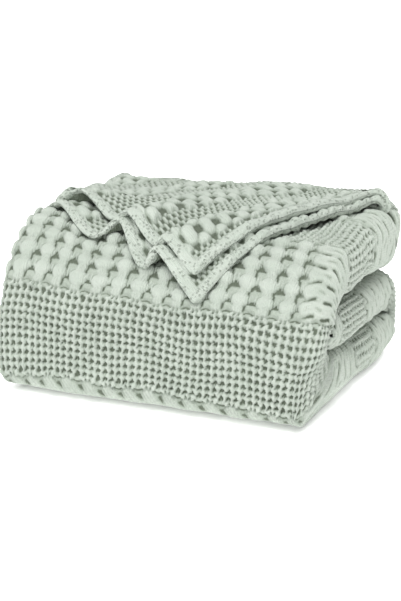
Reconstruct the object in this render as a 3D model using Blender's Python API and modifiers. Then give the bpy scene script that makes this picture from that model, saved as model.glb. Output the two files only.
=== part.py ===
"""A waffle weave cotton blanket, folded into a block with one corner of its top layers turned out.

The blanket is one sheet. It is first folded three times lengthwise into a strip of eight layers: its folds
nest inside each other on the right, and its two free side edges lie together on the left. The strip is then
rolled up: inner end, back fold, bottom, front wrap, top, back fold. After the last fold only the two layers
with the free edges run on, as a flap that lies askew over the top and the front, with a wavy side hem.

Metres, +Z up, front at -Y. The origin is the middle of the resting face.
"""

import bmesh
import bpy
import numpy as np

# ---- Driving dimensions ----
WIDTH = 0.415  # left to right, over the folds
DEPTH = 0.345  # front to back, over the folds
CLOTH = 0.003  # thickness of the cloth
LAYERS = 8  # layers in the lengthwise-folded strip

# Heights of the layers' middle surfaces where the strips meet: at the front and at the back
SEAM_LOW = (0.084, 0.056)  # between the bottom and the middle strip
SEAM_HIGH = (0.140, 0.110)  # between the middle and the top strip
TOP = (0.206, 0.171)  # the top strip's upper layer
STRIP_GAP = 0.0064  # between the middle surfaces of neighbouring strips

RIGHT_BULGE = 0.031  # how far the nested folds swell out to the right
LEFT_BULGE = 0.013  # how far the paired folds swell out to the left
BACK_BULGE = 0.040  # how far the back folds swell out
WRAP = 0.044  # the eight layers where they wrap the front
FLAP_STACK = 0.038  # the eight layers where the last strip leaves the back fold
FRONT_ROUND_LOW = (0.040, 0.018)  # depth and height of the front's lower rounding
FRONT_ROUND_HIGH = (0.118, 0.150)  # depth and height of the front's upper rounding
INNER_NOSE = 0.046  # how far the wrap's innermost layer runs ahead of the middle strip
INNER_END_GAP = 0.018  # from the nose of that layer to the strip's inner end
INNER_END_PINCH = 0.010  # how much the inner end is pressed flat, above and below

LEFT_RISE = 0.10  # the left end's extra height at the front, as a share
LEFT_RISE_REACH = 0.12  # how far in from the left it fades out
LEFT_FORWARD = 0.010  # how much further forward the front's left end stands

# The flap. Distances are measured over the top strip, from the last fold towards the front. Its side hems
# are waves: each row is a crest or a trough, as (left-right place, distance from the last fold, lift)
TOP_HEM = (
    (-0.188, 0.000, 0.0424),
    (-0.155, 0.180, 0.031),
    (-0.098, 0.218, 0.017),
    (-0.068, 0.222, 0.036),
    (-0.020, 0.254, 0.018),
    (0.008, 0.260, 0.029),
    (0.046, 0.286, 0.017),
)
UNDER_HEM = (
    (-0.188, 0.000, 0.0373),
    (-0.168, 0.213, 0.018),
    (-0.116, 0.247, 0.0075),
    (-0.080, 0.236, 0.018),
    (-0.038, 0.276, 0.007),
    (-0.016, 0.266, 0.012),
    (0.050, 0.311, 0.0065),
)
TOP_END = 0.088  # the end hem's distance from the last fold at the right, on the flap's top layer
UNDER_END = 0.100  # and on its under layer
INNER_END = 0.024  # and on the folded-in layers
TOP_REST = 0.026  # lift of the flap's top layer where it lies flat
UNDER_REST = 0.011  # and of its under layer
TOP_FALL = (0.070, 0.200)  # distances over which the top layer comes down from the last fold to its rest
UNDER_FALL = (0.048, 0.135)  # and the under layer
WAVE_REACH = 0.4  # share of the flap's width over which the waves of its side hem fade out
FOLD_REACH = 0.4  # share of the flap's width, at the right, over which its layers rise into their fold
ROOT_REACH = 0.080  # distance from the last fold over which lifting turns from upright to square to the block

# Steps of the grid: across each layer, as shares of its width; round each fold across the strip, as
# {(its two layers): steps}; and along each stretch of the strip
FLAT_STATIONS = (0.0, 0.1, 0.28, 0.6, 1.0)
FOLD_STEPS = {(1, 8): 6, (8, 5): 4, (5, 4): 3, (4, 3): 3, (3, 6): 4, (6, 7): 3, (7, 2): 5}
STEPS = {"inner": 2, "fold": 5, "bottom": 2, "front": 8, "top": 3, "flap": 20}
OUTLINE_STEPS = 40  # fine points on a curve that is then sampled evenly

COLOUR = (0.60, 0.70, 0.60, 1.0)
ROUGHNESS = 0.9

# ---- Places worked out from them ----
FRONT = -DEPTH / 2
FOLD_Y = DEPTH / 2 - BACK_BULGE
NOSE_Y = FRONT + WRAP + INNER_NOSE
INNER_START_Y = NOSE_Y - INNER_NOSE + INNER_END_GAP
HALF_GAP = STRIP_GAP / 2
LEFT_X = -WIDTH / 2 + LEFT_BULGE
RIGHT_X = WIDTH / 2 - RIGHT_BULGE
LAST = LAYERS - 1


def ramp(pair, y):
    """A height that changes evenly from the front to the back."""
    return mix(pair[0], pair[1], (y - FRONT) / DEPTH)


def smooth(low, high, value):
    """0 below low, 1 above high, and an S between them."""
    t = np.clip((value - low) / (high - low), 0.0, 1.0)
    return t * t * (3 - 2 * t)


def mix(a, b, share):
    return a + (b - a) * share


# ---- Across the strip: from one side edge of the cloth to the other ----
def across_stations():
    """Rows of (across, swell, level, layer), in the cloth's own order.

    across is 0 at the left and 1 at the right. swell is how far a fold stands out past the flat layers.
    level is 0 on the layer that the flap shows and 1 on the block's outermost one. layer is the layer
    itself, or the one that a fold starts from.
    """
    outermost_left = 1.5 / LAST  # the largest radius on the left, from layer 8 to layer 5
    rows = []
    for side, (layer, following) in enumerate(FOLD_STEPS):
        rightwards = side % 2 == 0
        level, other = (layer - 1) / LAST, (following - 1) / LAST
        rows += flat_layer(layer, level, rightwards)
        middle, radius = (level + other) / 2, (other - level) / 2
        reach = RIGHT_BULGE * abs(radius) / 0.5 if rightwards else -LEFT_BULGE * abs(radius) / outermost_left
        steps = FOLD_STEPS[layer, following]
        for i in range(1, steps):
            turn = np.pi * i / steps
            rows.append((float(rightwards), reach * np.sin(turn), middle - radius * np.cos(turn), layer))
    return rows + flat_layer(following, other, not rightwards)


def flat_layer(layer, level, rightwards):
    stations = FLAT_STATIONS if rightwards else FLAT_STATIONS[::-1]
    return [(across, 0.0, level, layer) for across in stations]


# ---- Along the strip: the outer and the inner line of the roll, each as points of (y, z) ----
def ellipse(centre, radii, start, end, steps):
    """A stretch of an ellipse, between two angles in quarter turns from +Y towards +Z."""
    turn = np.linspace(start, end, steps + 1) * np.pi / 2
    return np.stack([centre[0] + radii[0] * np.cos(turn), centre[1] + radii[1] * np.sin(turn)], axis=1)


def line(y_from, y_to, height, steps):
    y = np.linspace(y_from, y_to, steps + 1)
    return np.stack([y, height(y)], axis=1)


def resample(points, steps):
    """The same line with evenly spaced points."""
    along = lengths(points)
    at = np.linspace(0, along[-1], steps + 1)
    return np.stack([np.interp(at, along, column) for column in points.T], axis=1)


def lengths(points):
    """Distance along a line to each of its points."""
    return np.concatenate([[0], np.cumsum(np.linalg.norm(np.diff(points, axis=0), axis=1))])


def front_outline():
    """The block's rounded front, from the floor up to the top, as fine points."""
    low_y, low_z = FRONT_ROUND_LOW
    high_y, high_z = FRONT_ROUND_HIGH
    top = ramp(TOP, FRONT + high_y)
    low = ellipse((FRONT + low_y, CLOTH / 2 + low_z), (low_y, low_z), -1, -2, OUTLINE_STEPS)
    high = ellipse((FRONT + high_y, top - high_z), (high_y, high_z), 2, 1, OUTLINE_STEPS)
    return np.concatenate([low, high])


def seam_low(y):
    return ramp(SEAM_LOW, y)


def seam_high(y):
    return ramp(SEAM_HIGH, y)


def top(y):
    return ramp(TOP, y)


def middle_strip():
    """From the inner end, where the strip is pressed a little flat, to the first back fold."""

    def pinch(y):
        return INNER_END_PINCH * smooth(NOSE_Y, INNER_START_Y, y)

    steps = STEPS["inner"]
    return (
        line(INNER_START_Y, FOLD_Y, lambda y: seam_high(y) - HALF_GAP - pinch(y), steps),
        line(INNER_START_Y, FOLD_Y, lambda y: seam_low(y) + HALF_GAP + pinch(y), steps),
    )


def back_fold(low, high, centre, turn):
    """A fold at the back: a wide half ellipse from low to high, and a tight one round the seam at centre."""
    reach = (high - low) / 2
    wide = ellipse((FOLD_Y, low + reach), (BACK_BULGE - CLOTH / 2, reach), *turn, STEPS["fold"])
    tight = ellipse((FOLD_Y, centre), (HALF_GAP, HALF_GAP), *turn, STEPS["fold"])
    return wide, tight


def bottom_strip():
    steps = STEPS["bottom"]
    return (
        line(FOLD_Y, FRONT + FRONT_ROUND_LOW[0], lambda y: 0 * y + CLOTH / 2, steps),
        line(FOLD_Y, NOSE_Y, lambda y: seam_low(y) - HALF_GAP, steps),
    )


def front_wrap():
    low, high = seam_low(NOSE_Y) - HALF_GAP, seam_high(NOSE_Y) + HALF_GAP
    nose = ellipse((NOSE_Y, (low + high) / 2), (INNER_NOSE, (high - low) / 2), -1, -3, OUTLINE_STEPS)
    return resample(front_outline(), STEPS["front"]), resample(nose, STEPS["front"])


def top_strip():
    steps = STEPS["top"]
    return (
        line(FRONT + FRONT_ROUND_HIGH[0], FOLD_Y, top, steps),
        line(NOSE_Y, FOLD_Y, lambda y: seam_high(y) + HALF_GAP, steps),
    )


def rails():
    """The outer and the inner layer's middle lines, from the roll's inner end to the end of its last fold."""
    first_fold = back_fold(CLOTH / 2, seam_high(FOLD_Y) - HALF_GAP, seam_low(FOLD_Y), (1, -1))
    flap_top = top(FOLD_Y) + STRIP_GAP + FLAP_STACK
    wide, tight = back_fold(seam_high(FOLD_Y) + HALF_GAP, flap_top, top(FOLD_Y) + HALF_GAP, (-1, 1))
    stretches = [middle_strip(), first_fold, bottom_strip(), front_wrap(), top_strip(), (tight, wide)]
    return tuple(join(lines) for lines in zip(*stretches))


def join(lines):
    """One line from several, each of which starts where the one before it ends."""
    return np.concatenate([lines[0]] + [following[1:] for following in lines[1:]])


# ---- The flap, laid over the top strip and the front ----
def top_profile():
    """The block's upper line from the last fold forwards and down the front, with its distances and the
    directions in which cloth is lifted off it."""
    flat = line(FOLD_Y, FRONT + FRONT_ROUND_HIGH[0], top, OUTLINE_STEPS)
    points = np.concatenate([flat, front_outline()[::-1][1:]])
    along = lengths(points)
    slope = np.gradient(points, along, axis=0)
    lean = smooth(0, ROOT_REACH, along)
    return along, points, np.stack([slope[:, 1] * lean, -slope[:, 0]], axis=1)


def over_block(x, distance, lift):
    """Places that far from the last fold over the block, lifted off it."""
    along, points, up = top_profile()
    y, z, up_y, up_z = (np.interp(distance, along, column) for column in (*points.T, *up.T))
    return np.stack([x, y + up_y * lift, z + up_z * lift], axis=-1)


def wave_line(rows, share):
    """A place on a side hem: half a cosine wave from each row to the next, so each is a crest or a trough."""
    place = share * (len(rows) - 1)
    i = min(int(place), len(rows) - 2)
    part = place - i
    wave = (1 - np.cos(np.pi * part)) / 2
    return mix(np.array(rows[i]), np.array(rows[i + 1]), np.array([part, part, wave]))


def loose_layer(across, share, root_lift, hem, end, rest, fall):
    """A place on one of the two layers of the flap: (left-right place, distance from the last fold, lift)."""
    hem_x, hem_distance, hem_lift = wave_line(hem, share)
    distance = mix(hem_distance, end * share, across)
    laid = smooth(*fall, distance) * (1 - smooth(1 - FOLD_REACH, 1, across))
    lift = mix(hem_lift, mix(root_lift, rest, laid), smooth(0, WAVE_REACH, across))
    return mix(hem_x, RIGHT_X, across), distance, lift


def flap_row(stations, share):
    """One line of the flap, across the cloth: share is 0 at the last fold and 1 at the end hem."""
    loose = {1: (TOP_HEM, TOP_END, TOP_REST, TOP_FALL), 2: (UNDER_HEM, UNDER_END, UNDER_REST, UNDER_FALL)}
    right_ends = {1: TOP_END, 8: TOP_END, 7: UNDER_END}
    rows = []
    for across, swell, level, layer in stations:
        lift = STRIP_GAP + (1 - level) * FLAP_STACK
        if layer in loose and not swell:
            rows.append(loose_layer(across, share, lift, *loose[layer]))
        else:
            end = mix(INNER_END, right_ends.get(layer, INNER_END), across ** 2)
            rows.append((mix(LEFT_X, RIGHT_X, across) + swell, end * share, lift))
    return over_block(*np.array(rows).T)


# ---- The whole sheet ----
def settle(points):
    """The block's slight unevenness: its left end is fuller than its right, upwards and to the front."""
    x, y, z = points.T
    height = top(y)
    fuller = 1 - smooth(LEFT_X, LEFT_X + LEFT_RISE_REACH, x)
    wider = 1 - smooth(LEFT_X, RIGHT_X, x)
    forward = np.clip((FOLD_Y - y) / (FOLD_Y - FRONT), 0, 1)
    body = np.minimum(z, height) - CLOTH / 2
    z = CLOTH / 2 + body * (1 + LEFT_RISE * fuller * forward) + np.maximum(z - height, 0)
    return np.stack([x, y - LEFT_FORWARD * wider * forward, z], axis=1)


def sheet_points():
    """Places of the grid: a row for each step along the strip, a column for each station across it."""
    stations = across_stations()
    across, swell, level, _ = np.array(stations).T
    x = mix(LEFT_X, RIGHT_X, across) + swell
    rolled = [np.column_stack([x, mix(inner, outer, level[:, None])]) for outer, inner in zip(*rails())]
    steps = STEPS["flap"]
    flap = [flap_row(stations, i / steps) for i in range(1, steps + 1)]
    grid = np.array(rolled + flap)
    grid = settle(grid.reshape(-1, 3)).reshape(grid.shape)
    low, high = grid.min(axis=(0, 1)), grid.max(axis=(0, 1))
    grid[..., :2] -= (low[:2] + high[:2]) / 2
    return grid


# ---- The Blender object ----
def clear_scene():
    for obj in list(bpy.data.objects):
        bpy.data.objects.remove(obj, do_unlink=True)


def cotton():
    material = bpy.data.materials.new("sage_cotton")
    material.use_nodes = True
    shader = material.node_tree.nodes["Principled BSDF"]
    shader.inputs["Base Color"].default_value = COLOUR
    shader.inputs["Roughness"].default_value = ROUGHNESS
    shader.inputs["Metallic"].default_value = 0.0
    return material


def folded_sheet(name, points):
    """A flat grid whose corners are moved to their folded places and which is then given its thickness."""
    rows, columns = points.shape[:2]
    bm = bmesh.new()
    bmesh.ops.create_grid(bm, x_segments=columns - 1, y_segments=rows - 1, size=0.5)
    for vertex in bm.verts:
        column = round((vertex.co.x + 0.5) * (columns - 1))
        row = round((vertex.co.y + 0.5) * (rows - 1))
        vertex.co = points[row, column]
    mesh = bpy.data.meshes.new(name)
    bm.to_mesh(mesh)
    bm.free()
    mesh.shade_smooth()
    sheet = bpy.data.objects.new(name, mesh)
    thick = sheet.modifiers.new("cloth", "SOLIDIFY")
    thick.thickness = CLOTH
    thick.offset = 0.0
    return sheet


def main():
    clear_scene()
    collection = bpy.data.collections.new("folded_blanket")
    bpy.context.scene.collection.children.link(collection)
    blanket = folded_sheet("blanket", sheet_points())
    blanket.data.materials.append(cotton())
    collection.objects.link(blanket)


main()
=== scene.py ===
# %% [markdown]
# # A folded waffle weave blanket
#
# One cotton sheet, folded three times lengthwise into a strip of eight layers and then rolled up, with one
# corner of its two top layers turned out as a flap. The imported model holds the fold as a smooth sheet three
# millimetres thick. This script dresses it: the same fold is worked out again on fine grids, and the lofty
# weave is raised on it as real relief, because light and shadow in the cells are what make waffle cloth.

import math

import bpy
import numpy as np
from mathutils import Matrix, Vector


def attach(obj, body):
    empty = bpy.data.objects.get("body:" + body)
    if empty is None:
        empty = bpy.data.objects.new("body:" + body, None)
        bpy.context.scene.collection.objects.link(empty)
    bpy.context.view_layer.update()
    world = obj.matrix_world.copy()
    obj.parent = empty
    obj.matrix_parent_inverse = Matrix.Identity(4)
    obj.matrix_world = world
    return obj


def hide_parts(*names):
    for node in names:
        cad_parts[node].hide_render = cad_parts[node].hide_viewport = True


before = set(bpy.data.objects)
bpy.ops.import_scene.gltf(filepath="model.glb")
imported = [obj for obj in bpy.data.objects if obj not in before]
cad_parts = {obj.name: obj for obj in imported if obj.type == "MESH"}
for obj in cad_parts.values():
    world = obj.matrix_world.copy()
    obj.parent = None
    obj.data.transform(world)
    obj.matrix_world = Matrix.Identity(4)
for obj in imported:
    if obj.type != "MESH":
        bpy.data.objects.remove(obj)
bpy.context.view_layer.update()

# %% [markdown]
# ## Camera
#
# The block is seen from the front right and a little above, from a metre and a half away. The lens is given by
# its focal length in heights of the frame, so the view is the same whatever the sensor.

# %% Place the camera
AZIMUTH, ELEVATION = math.radians(23.3), math.radians(17.0)
CAMERA_DISTANCE = 1.5
CAMERA_TARGET = Vector((-0.0125, 0.0067, 0.0878))
FOCAL_HEIGHTS = 1160 / 601  # focal length in heights of the frame
SENSOR = 36.0  # millimetres, along the frame's long side

towards_camera = Vector((
    math.sin(AZIMUTH) * math.cos(ELEVATION),
    -math.cos(AZIMUTH) * math.cos(ELEVATION),
    math.sin(ELEVATION),
))
camera_data = bpy.data.cameras.new("camera")
camera_data.sensor_width = SENSOR
camera_data.lens = SENSOR * FOCAL_HEIGHTS
camera = bpy.data.objects.new("camera", camera_data)
camera.location = CAMERA_TARGET + towards_camera * CAMERA_DISTANCE
camera.rotation_mode = "QUATERNION"
camera.rotation_quaternion = (-towards_camera).to_track_quat("-Z", "Y")
bpy.context.scene.collection.objects.link(camera)
bpy.context.scene.camera = camera
print("camera at", [round(v, 3) for v in camera.location])

# %% [markdown]
# ## The folded block
#
# Every layer lies between two lines: the outer line of the roll and the inner one. They run from the roll's
# inner end to the end of its last fold, and a place is given by how far along them it is, how far across the
# strip, and its level between them. These are the block's driving sizes, in metres.

# %% Sizes of the fold
WIDTH, DEPTH = 0.415, 0.345  # the block with its folds
CLOTH = 0.003  # thickness of the sheet without its weave
LAST = 7  # steps from layer 1 to layer 8, so a layer's level is (layer - 1) / LAST
SEAM_LOW, SEAM_HIGH, TOP = (0.084, 0.056), (0.140, 0.110), (0.206, 0.171)  # heights at the front and the back
STRIP_GAP = 0.0064  # between one turn of the strip and the next
RIGHT_BULGE, LEFT_BULGE, BACK_BULGE = 0.031, 0.013, 0.040  # how far the folds swell out on each side
WRAP = 0.044  # thickness of the strip where it wraps the front
STRIP_THICKNESS, FLAP_STACK = 0.058, 0.038  # of the strip's eight layers, and of those past the last fold
FRONT_ROUND_LOW, FRONT_ROUND_HIGH = (0.040, 0.018), (0.118, 0.150)  # radii in y and z
INNER_NOSE, INNER_END_GAP, INNER_END_PINCH = 0.046, 0.006, 0.010  # the space in the front wrap, and the inner end
END_ROUND = 0.014  # the inner end closes over this length

FRONT = -DEPTH / 2
FOLD_Y = DEPTH / 2 - BACK_BULGE
NOSE_Y = FRONT + WRAP + INNER_NOSE
INNER_START_Y = NOSE_Y - INNER_NOSE + INNER_END_GAP
HALF_GAP = STRIP_GAP / 2
LEFT_X, RIGHT_X = -WIDTH / 2 + LEFT_BULGE, WIDTH / 2 - RIGHT_BULGE
OUTLINE_STEPS = 160


# %% [markdown]
# ## Helpers
#
# Nearly every shape here is a blend of two simpler ones, so three small functions carry most of the work: an
# even blend, an S-shaped step, and a line read at given places. They take whole arrays, because a loop over
# half a million places would take minutes.

# %% Blends, steps and lines
def mix(a, b, share):
    """a at share 0, b at share 1."""
    return a + (b - a) * share


def smooth(low, high, value):
    """0 below low, 1 above high, and an S between them: 3 t^2 - 2 t^3."""
    t = np.clip((value - low) / (high - low), 0.0, 1.0)
    return t * t * (3 - 2 * t)


def ramp(pair, y):
    """A height that changes evenly from the front to the back."""
    return mix(pair[0], pair[1], (y - FRONT) / DEPTH)


def lengths(points):
    """Distance along a line to each of its points: the running sum of its steps."""
    return np.concatenate([[0], np.cumsum(np.linalg.norm(np.diff(points, axis=0), axis=1))])


def sampled(points, along, places):
    """The line's points at those places along it, read between its own points."""
    return np.stack([np.interp(places, along, column) for column in points.T], axis=1)


def spaced(*stretches):
    """Places from one end to the other, with a spacing for each stretch: (start, end, spacing)."""
    parts = [np.linspace(a, b, max(2, round(abs(b - a) / step) + 1)) for a, b, step in stretches]
    return np.concatenate([parts[0]] + [part[1:] for part in parts[1:]])


# %% [markdown]
# ## The roll seen from its end
#
# From the end, the rolled strip is a flat spiral: the middle, a fold at the back, the bottom, the rounded
# front, the top, and one more fold at the back. A curve object could draw it. Stretches of ellipses and lines
# in (y, z) are used instead, because every layer's place then follows from two lines by a plain blend.

# %% Pieces of a line
def ellipse(centre, radii, start, end):
    """A stretch of an ellipse in (y, z): centre + radii (cos, sin), between two angles in quarter turns."""
    turn = np.linspace(start, end, OUTLINE_STEPS + 1) * np.pi / 2
    return np.stack([centre[0] + radii[0] * np.cos(turn), centre[1] + radii[1] * np.sin(turn)], axis=1)


def line(y_from, y_to, height):
    """A stretch in (y, z) with z given as a function of y."""
    y = np.linspace(y_from, y_to, OUTLINE_STEPS + 1)
    return np.stack([y, height(y)], axis=1)


def evenly(points):
    """The same line with evenly spaced points."""
    along = lengths(points)
    return sampled(points, along, np.linspace(0, along[-1], OUTLINE_STEPS + 1))


# %% The rounded front and the folds at the back
def front_outline():
    """The rounded front, from the floor up to the top: a quarter ellipse below and a larger one above."""
    (low_y, low_z), (high_y, high_z) = FRONT_ROUND_LOW, FRONT_ROUND_HIGH
    low = ellipse((FRONT + low_y, CLOTH / 2 + low_z), (low_y, low_z), -1, -2)
    high = ellipse((FRONT + high_y, ramp(TOP, FRONT + high_y) - high_z), (high_y, high_z), 2, 1)
    return np.concatenate([low, high])


def back_fold(low, high, centre, turn):
    """A fold at the back: a wide half ellipse from low to high, and a tight one round the seam at centre."""
    reach = (high - low) / 2
    wide = ellipse((FOLD_Y, low + reach), (BACK_BULGE - CLOTH / 2, reach), *turn)
    tight = ellipse((FOLD_Y, centre), (HALF_GAP, HALF_GAP), *turn)
    return wide, tight


def pinch(y):
    """How much the strip's inner end is pressed flat, above and below."""
    return INNER_END_PINCH * smooth(NOSE_Y, INNER_START_Y, y)


# %% The roll's outer and inner line
def stretches():
    """(outer line, inner line) of each stretch of the strip, in (y, z), in the order of rolling."""
    low, high = ramp(SEAM_LOW, NOSE_Y) - HALF_GAP, ramp(SEAM_HIGH, NOSE_Y) + HALF_GAP
    nose = ellipse((NOSE_Y, (low + high) / 2), (INNER_NOSE, (high - low) / 2), -1, -3)
    flap_top = ramp(TOP, FOLD_Y) + STRIP_GAP + FLAP_STACK
    wide, tight = back_fold(ramp(SEAM_HIGH, FOLD_Y) + HALF_GAP, flap_top, ramp(TOP, FOLD_Y) + HALF_GAP, (-1, 1))
    return {
        "middle": (
            line(INNER_START_Y, FOLD_Y, lambda y: ramp(SEAM_HIGH, y) - HALF_GAP - pinch(y)),
            line(INNER_START_Y, FOLD_Y, lambda y: ramp(SEAM_LOW, y) + HALF_GAP + pinch(y)),
        ),
        "back": back_fold(CLOTH / 2, ramp(SEAM_HIGH, FOLD_Y) - HALF_GAP, ramp(SEAM_LOW, FOLD_Y), (1, -1)),
        "bottom": (
            line(FOLD_Y, FRONT + FRONT_ROUND_LOW[0], lambda y: 0 * y + CLOTH / 2),
            line(FOLD_Y, NOSE_Y, lambda y: ramp(SEAM_LOW, y) - HALF_GAP),
        ),
        "front": (evenly(front_outline()), evenly(nose)),
        "top": (
            line(FRONT + FRONT_ROUND_HIGH[0], FOLD_Y, lambda y: ramp(TOP, y)),
            line(NOSE_Y, FOLD_Y, lambda y: ramp(SEAM_HIGH, y) + HALF_GAP),
        ),
        "last": (tight, wide),
    }


def joined(lines):
    """One line from several, each of which starts where the one before it ends."""
    return np.concatenate([lines[0]] + [following[1:] for following in lines[1:]])


parts = stretches()
roll_names = ["middle", "back", "bottom", "front", "top"]
outer_line = joined([parts[n][0] for n in roll_names])
inner_line = joined([parts[n][1] for n in roll_names])
outer_along = lengths(outer_line)
ROLL = outer_along[-1]  # the strip's length over the outer line, up to the last fold
ends = dict(zip(roll_names, outer_along[OUTLINE_STEPS::OUTLINE_STEPS]))
print("strip's length to the last fold", round(ROLL, 4), {n: round(v, 4) for n, v in ends.items()})


# %% [markdown]
# ## Across the strip
#
# Across the strip the layers follow each other like the folds of a paper map. A station is a place in that
# order: how far across as a share of the width, how far a fold swells out past the flat layers, and its level.
# A fourth number is the running distance over the cloth. The weave needs it, so that the cells keep their size
# round the folds.

# %% Stations across the strip
def flat(layer, start, end, step):
    """Stations (across, swell, level) on one flat layer, from start to end as shares of the width."""
    across = spaced((start, end, step / (RIGHT_X - LEFT_X)))
    zero = 0 * across
    return np.stack([across, zero, zero + (layer - 1) / LAST], axis=1)


def fold(layer, following, bulge, thickness, step, power=0.55):
    """Stations round a fold from one layer to the one that follows it, fuller than an ellipse.

    swell = bulge sin(turn)^power and level = middle - radius cos(turn), at even distances of one step.
    """
    level, other = (layer - 1) / LAST, (following - 1) / LAST
    middle, radius = (level + other) / 2, (other - level) / 2
    fine = np.linspace(0, np.pi, 400)
    full = np.maximum(np.sin(fine), 0) ** power
    rim = np.stack([bulge * full, -radius * thickness * np.cos(fine)], axis=1)
    along = lengths(rim)
    turn, swell = sampled(np.stack([fine, bulge * full], axis=1), along, spaced((0, along[-1], step))).T
    return np.stack([turn * 0 + (bulge > 0), swell, middle - radius * np.cos(turn)], axis=1)


def across_run(*runs, thickness, start):
    """One table of stations from several runs, with the running distance over the cloth as its last column."""
    table = joined(list(runs))
    across, swell, level = table.T
    path = np.stack([mix(LEFT_X, RIGHT_X, across) + swell, level * thickness], axis=1)
    return np.column_stack([table, start + lengths(path)])


# %% [markdown]
# ## One grid for the whole roll
#
# The skin that shows is the outermost layer, the fold on its left, the outermost of the nested folds on its
# right, and the innermost layer, which closes the view into the roll. One grid covers them all. Its cells are
# an eighth of a rib wide where the weave shows most, and larger inside.

# %% Columns and rows of the grid
RIB = 0.00865  # from one rib of the fine weave to the next
ROW = 0.01015  # from one bar to the next
FINE_U, FINE_S = RIB / 8, ROW / 7  # spacing of the grid where it shows most
TUCKED = 0.93  # a layer inside has closer columns from its fold on the right to this share of the width
columns = [
    flat(5, 0.055, 0.0, 0.005),
    fold(8, 5, -LEFT_BULGE, STRIP_THICKNESS, 0.0015)[::-1],
    flat(8, 0.0, 1.0, FINE_U),
    fold(1, 8, RIGHT_BULGE, STRIP_THICKNESS, 0.0016)[::-1],
    flat(1, 1.0, TUCKED, 0.005),
    flat(1, TUCKED, 0.0, 0.03),
]
roll_stations = across_run(*columns, thickness=STRIP_THICKNESS, start=0.0)
column_ends = np.cumsum([0] + [len(c) - 1 for c in columns])
roll_stations[:, 3] += LEFT_X - roll_stations[column_ends[2], 3]
INSIDE_U = roll_stations[column_ends[4], 3]  # where the innermost layer starts
FRONT_START = ends["bottom"] - 0.055  # the front panel starts a little way under the block
END_ROWS, BACK_ROWS = 0.012, 0.080  # lengths at the inner end and before the last fold with their own spacing
roll_places = spaced(
    (0, END_ROWS, 0.0012), (END_ROWS, ends["middle"], 0.0026), (ends["middle"], ends["back"], 0.0021),
    (ends["back"], FRONT_START, 0.0021), (FRONT_START, ROLL - BACK_ROWS, FINE_S), (ROLL - BACK_ROWS, ROLL, 0.0017),
)
print("roll grid", len(roll_places), "x", len(roll_stations), "column ends", column_ends)


# %% [markdown]
# ## Unevenness of the block
#
# A folded blanket is never a neat box. Its left end is fuller than its right and comes forward, it swells up
# under the flap's folds at the back on the right, and its ends draw in towards the floor. One function moves
# all places alike, so that the layers still nest. A lattice modifier could bend the finished block too, but
# its cage of points would say less than these named sizes.

# %% Settle the block
LEFT_RISE, LEFT_RISE_REACH = 0.10, 0.12  # the left end's rise as a share, and over what length it dies away
LEFT_FORWARD = 0.010  # how far the left end comes forward
HUMP = 0.020  # how far the strip swells up under the flap's folds, at the back on the right
HUMP_STACK = 0.034  # it has died away this far up in those folds
FOOT = 0.010  # how far the left end draws in where the front meets the floor


def settle(points):
    """z grows at the left end and under the folds at the back, y comes forward and x draws in at the foot."""
    x, y, z = np.moveaxis(points, -1, 0)
    height = ramp(TOP, y)
    fuller = 1 - smooth(LEFT_X, LEFT_X + LEFT_RISE_REACH, x)
    wider = 1 - smooth(LEFT_X, RIGHT_X, x)
    forward = np.clip((FOLD_Y - y) / (FOLD_Y - FRONT), 0, 1)
    body = np.minimum(z, height) - CLOTH / 2
    looser = mix(0.80, 1.13, (x - LEFT_X) / (RIGHT_X - LEFT_X))  # the flap's layers lie closer on the left
    stack = np.maximum(z - height, 0) * mix(looser, 1, smooth(0, 0.5, forward))
    hump = HUMP * smooth(0.07, 0.17, x) * smooth(0.68, 0.05, forward)
    hump = hump * (np.clip(body / height, 0, 1) ** 3 - np.clip(stack / HUMP_STACK, 0, 1))
    z = CLOTH / 2 + body * (1 + LEFT_RISE * fuller * forward**0.7) + stack + hump
    foot = FOOT * smooth(0.032, 0.0, z) * smooth(LEFT_X + 0.07, LEFT_X, x) * smooth(0.6, 0.95, forward)
    return np.stack([x + foot, y - LEFT_FORWARD * wider * forward, z], axis=-1)


# %% Places on the strip
def rolled(stations, outer, inner):
    """Places on the strip: x from the station, (y, z) between the inner and the outer line by its level."""
    across, swell, level = stations[:, :3].T
    yz = mix(inner[:, None], outer[:, None], level[None, :, None])
    y, z = yz[..., 0], yz[..., 1]
    slim = mix(0.45, 0.85, smooth(-0.05, 0.12, y))  # the folds draw in towards the floor, most of all in front
    slim = mix(slim, 1, smooth(0.0, 0.040, z))
    corner = 1 - 0.40 * smooth(FRONT + 0.12, FRONT + 0.02, y) * smooth(0.13, 0.05, z)
    closed = smooth(0.6, 0.25, level) * smooth(FOLD_Y - 0.02, FOLD_Y, y) * smooth(0.12, 0.10, z)
    right = swell * np.clip(swell / RIGHT_BULGE, 1e-3, 1) ** (-0.75 * closed)  # so the back shows no dimple
    left = 0.55 * slim * (1 - 0.55 * smooth(0.03, 0.10, z)) * swell
    x = mix(LEFT_X, RIGHT_X, across) + np.where(swell > 0, right * slim * corner, left)
    return settle(np.concatenate([x[..., None], yz], axis=2))


def strip_lines(places):
    """The outer and the inner line at those places, closing in on each other at the strip's inner end."""
    outer, inner = sampled(outer_line, outer_along, places), sampled(inner_line, outer_along, places)
    closing = np.sqrt(1 - np.clip(1 - places / END_ROUND, 0, 1) ** 2)[:, None]
    middle = (outer + inner) / 2
    return mix(middle, outer, closing), mix(middle, inner, closing)


roll = rolled(roll_stations, *strip_lines(roll_places))
low, high = roll.min(axis=(0, 1)), roll.max(axis=(0, 1))
CENTRING = np.array([low[0] + high[0], low[1] + high[1], 0.0]) / 2
print("the block's middle was at", CENTRING.round(5))
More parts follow.
